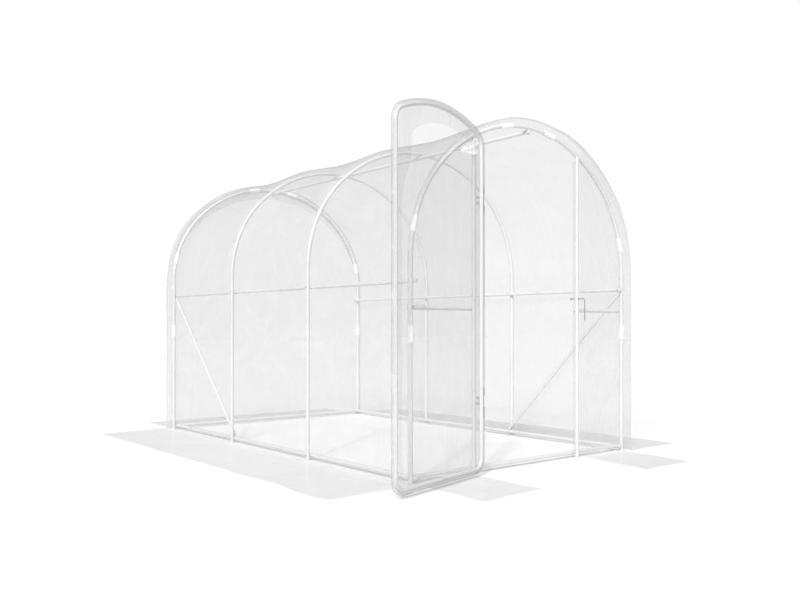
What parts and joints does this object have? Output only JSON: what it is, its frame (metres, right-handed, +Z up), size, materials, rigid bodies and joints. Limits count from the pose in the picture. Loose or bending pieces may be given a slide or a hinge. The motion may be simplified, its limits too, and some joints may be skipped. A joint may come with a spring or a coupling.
{
  "type": "polytunnel greenhouse",
  "caption": "Walk-in garden polytunnel: arched tube hoops, purlins, rails and braces under a clear film cover with ground skirts, and a film-covered door leaf on hinges at one end.",
  "frame": {"origin": "centre of the ground footprint, skirts included, on the ground", "axes": "+Z up, +Y along the tunnel away from the door end, +X across it to the right as seen facing the doorway"},
  "size_m": [3.001, 4.1, 2.0805],
  "materials": {
    "white_tube": "satin white powder coat",
    "white_clip": "smooth white plastic",
    "clear_film": "clear polyethylene film, slightly milky",
    "grey_steel": "dull zinc-plated steel"
  },
  "bodies": {
    "frame": {"front_hoop": "white_tube", "second_hoop": "white_tube", "third_hoop": "white_tube", "rear_hoop": "white_tube", "ridge_purlin": "white_tube", "left_purlin": "white_tube", "right_purlin": "white_tube", "left_ground_rail": "white_tube", "right_ground_rail": "white_tube", "front_ground_rail": "white_tube", "rear_ground_rail": "white_tube", "left_door_post": "white_tube", "right_door_post": "white_tube", "left_front_rail": "white_tube", "right_front_rail": "white_tube", "left_brace": "white_tube", "right_brace": "white_tube", "front_clips": "white_clip", "rear_clips": "white_clip", "roof_cover": "clear_film", "rear_film": "clear_film", "left_front_film": "clear_film", "right_front_film": "clear_film", "left_skirt": "clear_film", "right_skirt": "clear_film", "rear_skirt": "clear_film", "left_front_skirt": "clear_film", "right_front_skirt": "clear_film", "upper_hinge_bracket": "grey_steel", "lower_hinge_bracket": "grey_steel", "latch_collar": "grey_steel"},
    "door": {"door_frame": "white_tube", "door_film": "clear_film", "upper_hinge_strap": "grey_steel", "lower_hinge_strap": "grey_steel"},
    "latch": {"latch_handle": "grey_steel"}
  },
  "joints": [
    {"name": "door_hinge", "type": "hinge", "parent": "frame", "child": "door", "pos_m": [-0.442, -1.543, 0], "axis": [0, 0, 1], "range_deg": [-5, 165]},
    {"name": "latch_turn", "type": "hinge", "parent": "frame", "child": "latch", "pos_m": [0.46, -1.5, 1.015], "axis": [0, 1, 0], "range_deg": [0, 90]}
  ]
}
